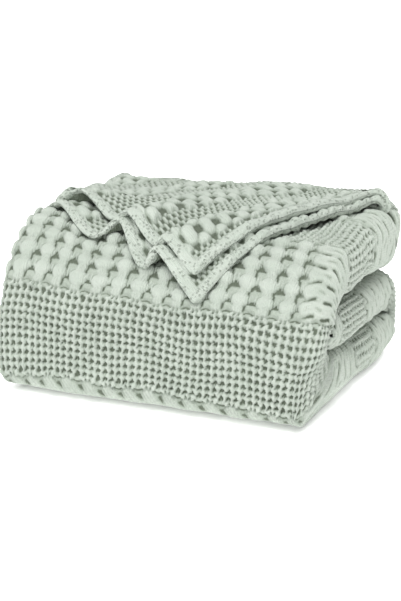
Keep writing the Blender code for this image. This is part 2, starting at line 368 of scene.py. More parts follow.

# %% [markdown]
# ## The weave
#
# The cloth is woven in bands. A fine band is a grid of small square cells: beaded ribs run along the strip,
# lower bars cross them, and each cell's floor is a hole, painted dark. A puff band is three times as coarse:
# padded round puffs on columns joined by necks, with open pits between the necks. Each kind is a height over
# the backing as a function of the two distances over the cloth, with a tone that paints shade into its low parts.

# %% Smooth random fields
dice = np.random.default_rng(7)


def wobble(size, terms=14):
    """A smooth random field: a sum of sine waves, about size metres long, in random directions."""
    waves = dice.normal(size=(terms, 3))
    waves *= (2 * np.pi / size) * dice.uniform(0.6, 1.3, (terms, 1)) / np.linalg.norm(waves, axis=1, keepdims=True)
    phases = dice.uniform(0, 2 * np.pi, terms)

    def field(points):
        return np.sin(points @ waves.T + phases).sum(axis=-1) / math.sqrt(terms / 2)
    return field


# how far the weave pulls across and along, how the cloth swells widely and closely, and how lofty it is
sway_across, sway_along, swell_wide, swell_small, loft = map(wobble, (0.11, 0.11, 0.13, 0.045, 0.035))


def chance(i, j, seed):
    """A fixed random number from 0 to 1 for each cell (i, j): the fraction of a large sine."""
    value = np.sin(i * 12.9898 + j * 78.233 + seed * 37.719) * 43758.5453
    return value - np.floor(value)


# %% Soft maximum and round section
def larger(*heights):
    """A soft maximum: the fourth root of the sum of fourth powers."""
    return sum(np.maximum(h, 0) ** 4 for h in heights) ** 0.25


def bulge(distance, half):
    """A round cross-section: 1 on its middle line and 0 from half its width on."""
    return np.sqrt(np.clip(1 - (distance / half) ** 2, 0, 1))


# %% The fine weave
RIB_TALL, BAR_TALL = 0.0050, 0.0023  # heights over the backing


def fine_weave(p, q):
    """(height, tone) of beaded ribs at p = 0 and knotted bars at q = 0, with dark ragged holes between them."""
    i, k = np.round(p / RIB), np.round(q / ROW)
    p = p + 0.0009 * (chance(i, k, 6) - 0.5) + 0.0005 * np.sin(2 * np.pi * q / 0.0041 + 2.1 * i)
    q = q + 0.0011 * (chance(i, k, 5) - 0.5) + 0.0005 * np.sin(2 * np.pi * p / 0.0037 + 1.7 * k)
    p, q = p - RIB * i, q - ROW * k
    turn = 2 * np.pi * q / ROW
    rib = bulge(p + 0.0006 * np.sin(turn), 0.0025 + 0.0009 * np.cos(turn)) * (0.82 + 0.18 * np.cos(turn))
    bar = bulge(q + 0.0011 * np.cos(2 * np.pi * p / RIB), 0.0025)
    height = larger(RIB_TALL * rib, BAR_TALL * bar)
    # the tone falls with the height: painted shade, darkest in the holes
    return height, np.clip(0.05 + height / 0.0038, 0, 1)


# %% [markdown]
# A puff is a pillow of cloth that stands up between pits. It is higher than anything round it, and the neck
# that joins it to the next puff is lower. A power of 2.5 in place of 2 makes its outline a little fuller than
# an ellipse. The pits are coloured as well as sunk, because so shallow a pit gets too little shadow from a
# large soft light.

# %% The puffs
PUFF = 3 * RIB  # from puff to puff across the strip
PUFF_ROW = 0.0228  # from puff to puff along the strip
PUFF_TALL, NECK_TALL, FINGER_TALL = 0.0074, 0.0036, 0.0040  # heights over the backing
STRAND = 0.0034  # from one strand to the next on a puff


def puff_weave(p, q, i, j, way, early, squeezed):
    """(height, tone) of puffs on necks, thin fingers beside them, and floors that slope up out of dark pits.

    A pit has a painted shadow below the puff it lies under, on the side that way points away from, and beside
    the neck on its left; early makes that part smaller. A ring of painted shade darkens the floor round each
    puff. On the left, where the block rounds off, the puffs are squeezed.
    """
    p = p + 0.0024 * (chance(i, j, 1) - 0.5)
    q = q + 0.0020 * (chance(i, j, 3) - 0.5)
    size = 0.90 + 0.18 * chance(i, j, 2)
    half_wide, half_high = size * mix(0.0102, 0.0120, squeezed), size * mix(0.0088, 0.0100, squeezed)
    neck_half = mix(0.0064, 0.0080, squeezed)
    reach = (np.abs(p / half_wide) ** 2.5 + np.abs(q / half_high) ** 2.5) ** (1 / 2.5)
    strand = np.cos(2 * np.pi * (p + 0.0006 * np.sin(2 * np.pi * q / 0.0060)) / STRAND)
    puff = PUFF_TALL * size * np.sqrt(np.clip(1 - reach**3, 0, 1)) * (1 + 0.02 * strand)
    neck = NECK_TALL * bulge(p, neck_half) ** 0.7 * (1 + 0.12 * strand)
    beside = np.abs(np.abs(p) - 0.0108 - 0.0008 * (chance(i, j, 4) - 0.5) - 0.08 * np.abs(q))
    finger = FINGER_TALL * np.sqrt(np.clip(1 - (beside / 0.0013) ** 2 - ((q * way + 0.0030) / 0.0066) ** 2, 0, 1))
    within = np.where(q > 0, q - PUFF_ROW / 2, q + PUFF_ROW / 2) * way / 0.0114
    # lit is 0 where the puff above or the neck on the left shades the pit: it slopes the floor, and in the tone it
    # is a painted shadow
    lit = smooth(-0.40, 0.0, within + early) * (1 - (p > 0) * smooth(neck_half + 0.0046, neck_half + 0.0010, p))
    floor = 0.0002 + 0.0018 * lit
    height = larger(puff, neck, finger, floor)
    # painted shade: a dark ring on the floor round each puff
    ring_shade = 0.6 * (1 - np.clip((reach - 1) / 0.14, 0, 1))
    tone = mix(0.0, 0.60, lit) * (1 - ring_shade) + 1.1 * (height - floor) / 0.0030
    tone = np.minimum(tone, mix(0.78 + 0.10 * strand, 0.94 + 0.04 * strand, smooth(1.12, 0.96, reach)))
    return height, np.clip(tone, 0, 1)


# %% [markdown]
# Round the folds on the right the cloth is pulled taut. Its puffs are drawn flat there, and their pits close to
# slits that run round the fold.

# %% A puff band stretched round a fold
TAUT_TALL = 0.0030  # height along the lines of the long slits
TAUT_STRAND = 0.0057  # from one strand to the next


def taut_weave(p, q, i, j):
    """(height, tone) of a stretched puff band: ridges with slits between them, both running round the fold."""
    half_row = PUFF_ROW / 2
    k = np.round(q / half_row)
    between = k % 2  # 1 on the rows between the puffs, where the slits are longer and deeper
    shifted = p + PUFF / 2 * (1 - between)
    shifted = shifted - PUFF * np.round(shifted / PUFF)
    from_slit = q - half_row * k + 0.0014 * (chance(i, j + k, 8) - 0.5) - 0.0016 * np.sin(2 * np.pi * p / PUFF)
    gap = mix(0.0050, 0.0015, between) + 0.0025 * chance(i, j + k, 9)
    slit = np.exp(-((from_slit / mix(0.0014, 0.0019, between)) ** 2)) * mix(0.4, 1, between)
    slit = slit * smooth(gap, gap + 0.0035, PUFF / 2 - np.abs(shifted))
    slit = slit * mix(0.55, 1, smooth(RIGHT_X, RIGHT_X + 0.030, p + i * PUFF))  # softer where the fold begins
    ridge = np.cos(np.pi * from_slit / half_row) ** 2 * mix(0.5, 1, between)
    strand = np.cos(2 * np.pi * from_slit / TAUT_STRAND)
    height = TAUT_TALL + 0.0018 * (1 - ridge) + 0.0003 * strand
    # the tone darkens in the slits and along them: painted shade
    return height * (1 - 0.75 * slit), np.clip(0.92 - 0.22 * ridge + 0.06 * strand - 1.6 * slit, 0, 1)


# %% The foot of the front
LEAN = 0.90  # how far the strands run sideways for each metre in under the front
GATHERED = 0.0050  # from one gathered strand to the next


def foot_weave(u, depth):
    """(height, tone) of the puff band that turns in under the front: gathered strands and pits, both leaning."""
    middle = u / PUFF - 0.5
    cell = np.round(middle)
    pit = (middle - cell) * PUFF + 0.003 * (chance(cell, 3, 11) - 0.5)
    reach = 0.0095 + 0.0025 * chance(cell, 5, 12)
    pit = pit - LEAN * (depth - reach)
    slit = np.exp(-((pit / (0.0034 + 0.0026 * smooth(0.5, -1.0, (depth - reach) / 0.008))) ** 2))
    slit = slit * smooth(0.0005, 0.0040, depth) * smooth(reach + 0.0120, reach + 0.0040, depth)
    web = np.exp(-(((pit - 0.0055) / 0.0045) ** 2)) * smooth(0.020, 0.012, depth)
    strand = np.cos(2 * np.pi * (u - LEAN * depth) / GATHERED)
    height = (0.0040 + 0.0007 * strand) * (1 - 0.35 * web) * (1 - 0.85 * slit)
    # the tone darkens in the slits and the webs: painted shade
    return height, np.clip(0.80 + 0.16 * strand - 0.25 * web - 1.1 * slit, 0, 1)


# %% [markdown]
# ## The bands
#
# Puff bands and fine bands take turns along the strip, each with whole rows of its own cells. A cell is found
# from its distance to the nearest edge of its band, so that both edges of a band look alike.

# %% Where the bands lie
MARGIN = 0.0080  # a puff band starts and ends with half a pit and half of this
PUFF_BAND = 5 * PUFF_ROW + MARGIN
BANDS = (PUFF_BAND, 10 * ROW, PUFF_BAND, 11 * ROW)  # puffs, fine, puffs, fine
FRONT_EDGE = 0.3125  # where the fine band on the front starts, from the last fold
FIRST_EDGE = FRONT_EDGE - sum(BANDS[:3]) - 2 * sum(BANDS)
band_edges = FIRST_EDGE + np.concatenate([[0], np.cumsum(BANDS * 6)])


# %% The weave at any place on the block
def block_weave(u, s):
    """(height, tone) at u across and s from the last fold: fine and puff bands in turn, blended at their edges."""
    taut = smooth(RIGHT_X - 0.012, RIGHT_X + 0.010, u)
    squeezed = 0.7 * smooth(LEFT_X + 0.030, LEFT_X, u)
    band = np.clip(np.searchsorted(band_edges, s) - 1, 0, len(band_edges) - 2)
    start, end = band_edges[band], band_edges[band + 1]
    edge = np.where(end - s < s - start, end, start)
    d = np.abs(s - edge)
    i = np.round(u / PUFF)
    p = u - i * PUFF
    scallop = 0.0026 * np.cos(2 * np.pi * p / PUFF)
    into_puffs = np.where(band % 2 == 0, d, -d)
    inside = into_puffs + scallop  # metres into the puff band, past its scalloped edge
    j = np.clip(np.floor((d - MARGIN / 2) / PUFF_ROW), 0, 2)
    gathered = np.clip(p * (1 + 0.75 * smooth(-0.0095, -0.001, inside)), -PUFF / 2, PUFF / 2)
    depth = s - (FRONT_EDGE + BANDS[1])  # past the front's fine band
    closer = np.clip(1 + depth / BANDS[1], 0, 1) ** 2.2  # one row more, as the rows close up towards the foot
    closer = ROW * np.where(edge == start, closer, 1 - closer) * (band % 2)
    row_place = closer - into_puffs - ROW / 2 - scallop * (1 - smooth(0.004, 0.012, d))
    fine = fine_weave(gathered + i * PUFF, row_place)
    fine = fine[0] * mix(1, 0.7, taut), np.maximum(fine[1], 0.55 * smooth(-0.0035, -0.0005, inside))
    cell = j + 7 * (edge == end) + 50 * band
    way = np.where(edge == end, -1, 1)  # towards the front, along the strip
    early = 0.45 * smooth(0.013, 0.008, d)
    q = d - MARGIN / 2 - (j + 0.5) * PUFF_ROW
    loose, stretched = puff_weave(p, q, i, cell, way, early, squeezed), taut_weave(p, q, i, cell)
    coarse = mix(loose[0], stretched[0], taut), mix(loose[1], stretched[1], taut)
    foot, at_foot = smooth(-0.002, 0.002, depth) * smooth(0.036, 0.028, depth), foot_weave(u, depth)
    coarse = mix(coarse[0], at_foot[0], foot), mix(coarse[1], at_foot[1], foot)
    share = smooth(-0.0010, 0.0025, inside)
    at_last_fold = smooth(0.024, 0.0, np.abs(s)) * smooth(LEFT_X, LEFT_X - 0.006, u)  # flatter there, on the left
    pressed = mix(1, 0.35, at_last_fold) * smooth(INSIDE_U + 0.05, INSIDE_U + 0.03, u)  # smooth inside the roll
    return mix(fine[0], coarse[0], share) * pressed, mix(fine[1], coarse[1], share)


# %% [markdown]
# ## From a grid to a piece
#
# A grid of places becomes a mesh in a few calls, because foreach_set copies whole arrays. Each piece carries
# its distances over the cloth as a UV map, and its tone and hem values as attributes that the material reads.
# Every piece gets the cotton, rides on the one body, and hides the imported sheet that it stands for.

# %% Normals and faces of a grid
def normals_of(points):
    """Unit normals of a grid: the cross product of its two directions, by central differences."""
    across = np.gradient(points, axis=1)
    along = np.gradient(points, axis=0)
    normal = np.cross(across, along)
    return normal / np.maximum(np.linalg.norm(normal, axis=-1, keepdims=True), 1e-12)


def grid_faces(index):
    """Four corners for each cell of a table of vertex numbers."""
    return np.stack([index[:-1, :-1], index[:-1, 1:], index[1:, 1:], index[1:, :-1]], axis=-1).reshape(-1, 4)


# %% A piece of the cloth
def make_piece(name, points, faces, uv, tone, hem):
    """A smooth mesh object with its cloth distances as a UV map, and its tone and hem values as attributes."""
    used, faces = np.unique(faces, return_inverse=True)
    faces = faces.reshape(-1, 4)
    points, uv, tone, hem = points[used], uv[used], tone[used], hem[used]
    mesh = bpy.data.meshes.new(name)
    mesh.vertices.add(len(points))
    mesh.vertices.foreach_set("co", points.astype(np.float32).ravel())
    mesh.loops.add(faces.size)
    mesh.loops.foreach_set("vertex_index", faces.astype(np.int32).ravel())
    mesh.polygons.add(len(faces))
    mesh.polygons.foreach_set("loop_start", np.arange(0, faces.size, 4, dtype=np.int32))
    mesh.update(calc_edges=True)
    mesh.validate()
    mesh.polygons.foreach_set("use_smooth", np.ones(len(mesh.polygons), bool))
    layer = mesh.uv_layers.new(name="cloth")
    layer.data.foreach_set("uv", uv[faces.ravel()].astype(np.float32).ravel())
    for label, values in (("tone", tone), ("hem", hem)):
        mesh.attributes.new(label, "FLOAT", "POINT").data.foreach_set("value", values.astype(np.float32))
    piece = bpy.data.objects.new(name, mesh)
    bpy.context.scene.collection.objects.link(piece)
    print(name, len(points), "vertices,", 2 * len(faces), "triangles")
    return piece


# %% What every piece gets
def dress(piece):
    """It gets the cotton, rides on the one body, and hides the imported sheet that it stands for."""
    piece.data.materials.append(cotton)
    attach(piece, "root")
    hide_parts("blanket")


# %% [markdown]
# ## The cotton
#
# Sage green cotton is matt, with a little fuzz that catches the light. The colour goes from a dark pit to a
# pale crown with the tone that the relief gives: painted shade, because little light gets out of a deep cell.
# Noise breaks the colour up, and a fine bump stands for single yarns. The hems are closely stitched, with
# pinholes in place of cells, painted dark as shade in the holes.

# %% Shader sockets in expressions
class Shade:
    """A shader socket that takes part in Python expressions: each operation adds a Math node."""

    def __init__(self, tree, socket):
        self.tree, self.socket = tree, socket

    def node(self, kind, settings=(), **inputs):
        """A new node of that kind, its settings made first, then its inputs by name, linked or given a value."""
        made = self.tree.nodes.new(kind)
        for name, value in dict(settings).items():
            setattr(made, name, value)
        for name, value in inputs.items():
            key = int(name[1:]) if name[0] == "_" and name[1:].isdigit() else name.replace("_", " ")
            if isinstance(value, Shade):
                self.tree.links.new(value.socket, made.inputs[key])
            else:
                made.inputs[key].default_value = value
        return made

    def out(self, made, name=0):
        return Shade(self.tree, made.outputs[name])

    def math(self, operation, *values):
        given = {f"_{k}": v for k, v in enumerate(values)}
        return self.out(self.node("ShaderNodeMath", {"operation": operation}, **given))

    def __add__(self, other): return self.math("ADD", self, other)
    def __radd__(self, other): return self.math("ADD", other, self)
    def __sub__(self, other): return self.math("SUBTRACT", self, other)
    def __rsub__(self, other): return self.math("SUBTRACT", other, self)
    def __mul__(self, other): return self.math("MULTIPLY", self, other)
    def __rmul__(self, other): return self.math("MULTIPLY", other, self)

    def between(self, low, high):
        """0 below low and 1 above high, as an S."""
        made = self.node("ShaderNodeMapRange", {"interpolation_type": "SMOOTHSTEP"},
                         Value=self, From_Min=low, From_Max=high)
        return self.out(made)

    def blend(self, a, b):
        """Colour a where this is 0, colour b where it is 1."""
        return self.out(self.node("ShaderNodeMix", {"data_type": "RGBA"}, Factor=self, _6=a, _7=b), 2)


# %% Colours, from the painted shade at the bottom of a cell to its crown
PIT_SHADE = (0.125, 0.150, 0.110, 1)
SHADE = (0.360, 0.410, 0.345, 1)
CROWN = (0.490, 0.547, 0.478, 1)
PALE = (0.545, 0.595, 0.530, 1)

# %% The material
cotton = bpy.data.materials.new("sage_cotton")
cotton.use_nodes = True
tree = cotton.node_tree
shader = tree.nodes["Principled BSDF"]
start = Shade(tree, None)
# tone is the relief's painted shade: 0 at the bottom of a pit, 1 on a crown
tone = start.out(start.node("ShaderNodeAttribute", {"attribute_name": "tone"}), "Fac")
hem = start.out(start.node("ShaderNodeAttribute", {"attribute_name": "hem"}), "Fac")
place = start.out(start.node("ShaderNodeTexCoord"), "Object")
cloth_uv = start.out(start.node("ShaderNodeUVMap", {"uv_map": "cloth"}))
patches = start.out(start.node("ShaderNodeTexNoise", Vector=place, Scale=38.0, Detail=4.0, Roughness=0.6), "Fac")
fuzz = start.out(start.node("ShaderNodeTexNoise", Vector=place, Scale=420.0, Detail=4.0, Roughness=0.7), "Fac")
yarn = start.out(start.node("ShaderNodeTexWave", {"wave_type": "BANDS", "bands_direction": "X"},
                            Vector=cloth_uv, Scale=130.0, Distortion=3.0, Detail=2.0, Detail_Scale=1.5), "Fac")
lit = patches.between(0.3, 0.7).blend(CROWN, PALE)
# the relief's painted shade, broken up by fuzz
shade_and_fuzz = tone + 0.55 * (fuzz - 0.5)
colour = shade_and_fuzz.between(0.35, 0.95).blend(shade_and_fuzz.between(0.0, 0.45).blend(PIT_SHADE, SHADE), lit)
# pinholes in the hems: painted dark with the pit colours as shade in the holes, and pressed in by the bump
pins = start.out(start.node("ShaderNodeTexVoronoi", {"feature": "F1"}, Vector=place, Scale=230.0), "Distance")
holes = hem * (1 - pins.between(0.18, 0.40))
colour = (holes * 0.85).blend(colour, shade_and_fuzz.between(0.2, 1.1).blend(PIT_SHADE, SHADE))
tree.links.new(colour.socket, shader.inputs["Base Color"])
bump = start.node("ShaderNodeBump", Height=yarn * 0.4 + fuzz * 1.4 - holes * 1.2, Strength=0.9, Distance=0.0014)
tree.links.new(bump.outputs[0], shader.inputs["Normal"])
shader.inputs["Roughness"].default_value = 0.95
shader.inputs["Specular IOR Level"].default_value = 0.15
shader.inputs["Sheen Weight"].default_value = 0.15
shader.inputs["Sheen Roughness"].default_value = 0.5

# %% [markdown]
# ## The block's outer skin
#
# One grid covers the whole roll. It is displaced by the relief and then cut into pieces along its own rows
# and columns, so that they share their borders exactly.

# %% Raise the relief on the roll
SINK = 0.0024  # the relief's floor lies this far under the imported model's surface
DEEPEST = 0.0064  # and this far on the underside, which the floor presses flat


def slow_rise(points):
    """The cloth's own slow unevenness."""
    return 0.0016 * swell_wide(points) + 0.0006 * swell_small(points)


def drifted(points, u, s):
    """Distances over the cloth where the weave has pulled a little out of true."""
    return u + 0.0016 * sway_across(points), s + 0.0016 * sway_along(points)


def raised(points, normal, u, s):
    """Grid places pushed out along their normals by the relief, with slow unevenness of place and height."""
    height, tone = block_weave(*drifted(points, u, s))
    height = height * (1 + 0.10 * loft(points))
    under = smooth(-0.55, -0.97, normal[..., 2]) * (points[..., 2] < 0.03)
    height = height * mix(1, 0.6, smooth(0.1, -0.5, normal[..., 2]) * smooth(0.05, 0.02, points[..., 2]))
    push = CLOTH / 2 + height - mix(SINK, DEEPEST, under) + (1 - under) * slow_rise(points)
    moved = points + normal * push[..., None]
    moved[..., 2] = np.maximum(moved[..., 2], 0.0)
    return moved, tone


roll = roll - CENTRING
roll_normal = normals_of(roll)
u_grid, s_grid = np.meshgrid(roll_stations[:, 3], ROLL - roll_places)
print("normal on top", roll_normal[-10, column_ends[2] + 100].round(2))
front_share = np.clip((u_grid - LEFT_X) / (RIGHT_X - LEFT_X), 0, 1)
band_shift = 0.008 * np.sin(np.pi * front_share**0.7) * smooth(0.15, 0.30, s_grid)
roll_surface, roll_tone = raised(roll, roll_normal, u_grid, s_grid + band_shift)
index = np.arange(roll[..., 0].size).reshape(roll.shape[:2])
roll_uv = np.stack([u_grid, s_grid], axis=-1).reshape(-1, 2)


# %% Cut the skin into pieces
TOP_PANEL = 0.19  # length of the top panel, up to the last fold
FLAT_WIDTH = RIGHT_X - LEFT_X  # the strip's width between its folds


def roll_piece(name, rows, cols, flat_size):
    """The stretch of the skin between those rows and columns."""
    faces = grid_faces(index[rows, cols])
    piece = make_piece(name, roll_surface.reshape(-1, 3), faces, roll_uv, roll_tone.ravel(), 0 * roll_tone.ravel())
    dress(piece)


row_back = int(np.searchsorted(roll_places, ends["middle"] - 1e-9))
row_front = int(np.searchsorted(roll_places, FRONT_START - 1e-9))
row_top = int(np.searchsorted(roll_places, ROLL - TOP_PANEL))
left_end, right_end = column_ends[2], column_ends[3]
across_u = roll_stations[:, 3]
between_folds = slice(left_end, right_end + 1)
roll_piece("front_panel", slice(row_front, row_top + 1), between_folds,
           (FLAT_WIDTH, ROLL - TOP_PANEL - FRONT_START))
roll_piece("top_panel", slice(row_top, None), between_folds, (FLAT_WIDTH, TOP_PANEL))
roll_piece("back_and_bottom", slice(row_back, row_front + 1), between_folds,
           (FLAT_WIDTH, FRONT_START - ends["middle"]))
roll_piece("right_folds", slice(None), slice(right_end, None), (across_u[-1] - across_u[right_end], ROLL))
roll_piece("left_folds", slice(None), slice(0, left_end + 1), (across_u[left_end] - across_u[0], ROLL))

# %% [markdown]
# ## The last fold and the flap
#
# Behind the top strip the roll folds back once more. Past that fold only the two layers with the free edges
# run on, laid askew over the block. A place on them is given over the block: left to right, the distance from
# the last fold along the block's upper line, and the lift off it.

# %% Sizes of the flap
# A row for each crest and dip of a side hem: (left to right, distance from the last fold, lift off the block).
TOP_ROWS = (
    (LEFT_X, 0.000, 0.0444),
    (-0.188, 0.070, 0.026),
    (-0.187, 0.158, 0.019),
    (-0.181, 0.192, 0.012),
    (-0.162, 0.192, 0.028),
    (-0.143, 0.189, 0.031),
    (-0.090, 0.215, 0.017),
    (-0.059, 0.222, 0.036),
    (-0.017, 0.248, 0.020),
    (0.003, 0.2495, 0.034),
    (0.049, 0.282, 0.017),
)
UNDER_ROWS = (
    (LEFT_X, 0.000, 0.0390),
    (-0.194, 0.060, 0.015),
    (-0.193, 0.150, 0.006),
    (-0.189, 0.194, 0.006),
    (-0.168, 0.202, 0.013),
    (-0.110, 0.239, 0.0075),
    (-0.0735, 0.2225, 0.022),
    (-0.0295, 0.270, 0.009),
    (-0.0065, 0.258, 0.024),
    (0.0545, 0.311, 0.0065),
)
TOP_END, UNDER_END = 0.015, 0.030  # where the front hem reaches the fold on the right, from the last fold
TOP_REST, UNDER_REST = 0.0175, 0.0085  # lift of a layer where it lies on the block
TOP_FALL, UNDER_FALL = (0.090, 0.240), (0.070, 0.230)  # it comes down to that between these distances
TOP_PRESSED, UNDER_PRESSED, PRESS_REACH = 0.80, 0.50, 0.070  # the folds lie thinner away from the last fold
WAVE_REACH, FOLD_REACH = 0.4, 0.10  # shares of the width that the side hem's waves and the fold reach in
ROOT_REACH = 0.080  # a lift is straight up at the last fold, and square off the block from here on
BOW = 0.024  # how far the front hem bows out from a straight line
FLAP_SWELL = 0.70  # the flap's folds swell out less than the strip's
HEM_SLOPE = 1.517  # how fast the front hem runs back towards the last fold, to the right
FLAP_WIDTH = 0.37  # of a loose layer, from its side hem to its fold
BEAD_DEPTH = 0.55  # how deep the dips between the under layer's beads are, as a share of the hem


# %% [markdown]
# ## Laying the flap over the block
#
# A cloth simulation could drop the flap on the block, but where its waves fell would be left to chance. Here a
# layer's side hem is a curve through its crests and dips, its front hem is a slightly bowed line, and the
# cloth between them comes down to rest on the block.

# %% Places over the block
over_line = joined([parts["top"][0][::-1], front_outline()[::-1]])
over_along = lengths(over_line)
over_slope = np.gradient(over_line, over_along, axis=0)
over_lean = smooth(0, ROOT_REACH, over_along)
over_up = np.stack([over_slope[:, 1] * over_lean, -over_slope[:, 0]], axis=1)


def over_block(x, distance, lift):
    """Places that far from the last fold over the block, lifted off it."""
    y, z, up_y, up_z = (np.interp(distance, over_along, column) for column in (*over_line.T, *over_up.T))
    return np.stack([x, y + up_y * lift, z + up_z * lift], axis=-1)


# %% The waves of a side hem
def wave_line(rows, share):
    """A place on a side hem: a Catmull-Rom curve through the rows, and half a cosine between their lifts."""
    rows = np.array(rows)
    place = share * (len(rows) - 1)
    i = np.clip(place.astype(int), 0, len(rows) - 2)
    t = (place - i)[..., None]
    ends_too = np.concatenate([[2 * rows[0] - rows[1]], rows, [2 * rows[-1] - rows[-2]]])
    before, here, there, after = (ends_too[i + k] for k in range(4))
    curve = here + t * (there - before) / 2 + t**2 * (before - 2.5 * here + 2 * there - after / 2)
    curve = curve + t**3 * (1.5 * (here - there) + (after - before) / 2)
    lift = mix(here[..., 2], there[..., 2], (1 - np.cos(np.pi * t[..., 0])) / 2)
    return curve[..., 0], curve[..., 1], lift


# %% A layer from its hem to its fold on the right
def stacked(level, distance, pressed):
    """The lift of a layer in the folds on the right, which are pressed together away from the last fold."""
    away = smooth(0, PRESS_REACH, distance)
    return STRIP_GAP * mix(1, 0.7, away) + (1 - level) * FLAP_STACK * mix(1, pressed, away)


def hem_round(end, arc, least=0.005):
    """Where the front hem lies on the fold on the right: it runs back towards the last fold and levels out."""
    return least + 0.012 * np.logaddexp(0, (end - HEM_SLOPE * arc - least) / 0.012)


def loose_layer(across, share, level, rows, end, rest, fall, pressed):
    """(left-right place, distance from the last fold, lift) on one of the flap's two layers."""
    hem_x, hem_distance, hem_lift = wave_line(rows, share)
    distance = mix(hem_distance, hem_round(end, 0) * share, across) + BOW * np.sin(np.pi * across) * share**3
    root = stacked(level, distance, pressed)
    laid = smooth(*fall, distance) * (1 - smooth(1 - FOLD_REACH, 1, across))
    lift = mix(hem_lift, mix(root, rest, laid), smooth(0, WAVE_REACH, across))
    return mix(hem_x, RIGHT_X, across), distance, lift


def folded_layer(stations, share, end, pressed):
    """The same for the fold on the right and the layer after it: the front hem runs on round them to the back."""
    across, swell, level = (column[None, :] for column in stations[:, :3].T)
    distance = hem_round(end, stations[None, :, 3] - stations[0, 3]) * share[:, None]
    x = mix(LEFT_X, RIGHT_X, across) + FLAP_SWELL * swell
    return np.broadcast_arrays(x, distance, stacked(level, distance, pressed))


def flap_places(stations, loose_count, share, rows, end, rest, fall, pressed):
    """(x, distance, lift) of a layer's grid: a loose layer up to column loose_count, then its fold and tail."""
    across, level = stations[None, :loose_count, 0], stations[0, 2]
    loose = loose_layer(across, share[:, None], level, rows, end, rest, fall, pressed)
    folded = folded_layer(stations[loose_count - 1:], share, end, pressed)
    return [np.concatenate([a, b[:, 1:]], axis=1) for a, b in zip(np.broadcast_arrays(*loose), folded)]


# %% [markdown]
# ## The weave on the flap
#
# The flap shows the cloth askew to the block. Its puffs are lozenges in a staggered lattice with a dark pit at
# each node, and its fine cells are the same lattice with less than half its pitch. The bands run along the
# front hem.

# %% Distances along the flap's front hem and in from it
HEM_A, HEM_B = (0.5503, -0.8350), (-0.8350, -0.5503)  # along the flap's front hem, and in from it
LOZENGE, CELL = (0.0230, 0.0190), (0.0077, 0.0080)  # pitch along the hem, and from row to row
LOZENGE_TALL, CELL_TALL = 0.0080, 0.0046


def askew(x, distance, corner):
    """Distances along the flap's front hem and in from it."""
    dx, dd = x - corner[0], distance - corner[1]
    return dx * HEM_A[0] + dd * HEM_A[1], dx * HEM_B[0] + dd * HEM_B[1]


# %% A lattice of pillows
def lattice(a, b, pitch, tall, flatness, spread):
    """(height, tone) of pillows between the nodes of a staggered lattice, with a dark pit at each node."""
    m, n = a / pitch[0] + b / (2 * pitch[1]), a / pitch[0] - b / (2 * pitch[1])
    pillow = np.abs(np.sin(np.pi * m) * np.sin(np.pi * n)) ** flatness
    near_a = (m - np.round(m) + n - np.round(n)) * pitch[0] / 2
    near_b = (m - np.round(m) - n + np.round(n)) * pitch[1]
    hole = np.exp(-(near_a**2 + near_b**2) / spread**2)
    height = np.maximum(tall * (0.30 + 0.70 * pillow) - 0.8 * tall * hole, 0)
    # the tone darkens at each node's pit and in the low parts: painted shade
    return height, np.clip(0.18 + 1.1 * pillow - 1.7 * hole, 0, 1)


# %% The flap's bands
# From the front hem to where each one ends: the hem, a fine strip, then lozenges and fine cells in turn.
FLAP_BANDS = (0.0130, 0.0230, 0.0610, 0.0930, 0.1500, 0.1920, 0.2490, 0.2920, 0.3490, 0.40)


def flap_weave(a, b):
    """(height, tone) on the flap: bands of lozenges and of fine cells in turn, from the front hem inwards."""
    band = np.searchsorted(FLAP_BANDS, b)
    lozenges = (band >= 2) & (band % 2 == 0)
    inside = np.abs(b[..., None] - np.array(FLAP_BANDS)).min(axis=-1) * np.where(lozenges, 1, -1)
    coarse = lattice(a, b - FLAP_BANDS[1], LOZENGE, LOZENGE_TALL, 0.42, 0.0046)
    fine = lattice(a, b - FLAP_BANDS[1], CELL, CELL_TALL, 0.6, 0.0025)
    share = smooth(-0.002, 0.003, inside)
    return mix(fine[0], coarse[0], share), mix(fine[1], coarse[1], share)


# %% [markdown]
# ## Rolled hems
#
# The edges are turned under and stitched down, which makes a flat tube with a crease beside it. The seam
# draws the under layer's hem up into beads. A bevelled curve could stand for a hem. Here it is part of the
# layer's own grid, so that cloth and hem stay one surface.

# %% The section of a hem, and the flap's corner
HEM = 0.0138  # width of a rolled hem
BEAD = 0.0175  # from bead to bead along the under layer's hem
SIDE_HALF, FRONT_HALF = 0.0038, 0.0062  # half the thickness of the hem along the side and along the front


def hem_profile(e, half=0.0036, along=0.0, beads=0.0):
    """Half the thickness at e in from a rolled hem's edge: a flat tube, beaded by that share, and a crease."""
    flat_tube = np.clip(1 - np.abs(2 * e / HEM - 1) ** 3.2, 0, 1) ** 0.5
    bead = 1 - beads * (1 - np.abs(np.sin(np.pi * along / BEAD)) ** 0.6)
    return np.maximum(half * flat_tube * bead, np.where(e < HEM / 2, 0.0002, 0.0021))


def round_corner(points, from_side, from_front, radius=0.011):
    """The grid with the corner between its first column and its last row rounded: a square mapped to a disc."""
    inward = np.gradient(points, axis=1)
    inward /= np.linalg.norm(inward, axis=-1, keepdims=True)
    back = -np.gradient(points, axis=0)
    back /= np.linalg.norm(back, axis=-1, keepdims=True)
    p, q = np.clip(1 - from_side / radius, 0, 1), np.clip(1 - from_front / radius, 0, 1)
    move_in, move_back = p * (1 - np.sqrt(1 - q * q / 2)), q * (1 - np.sqrt(1 - p * p / 2))
    return points + radius * (inward * move_in[..., None] + back * move_back[..., None])


# %% The last fold's two lines
tight, wide = parts["last"]
wide_along, tight_along = lengths(wide), lengths(tight)


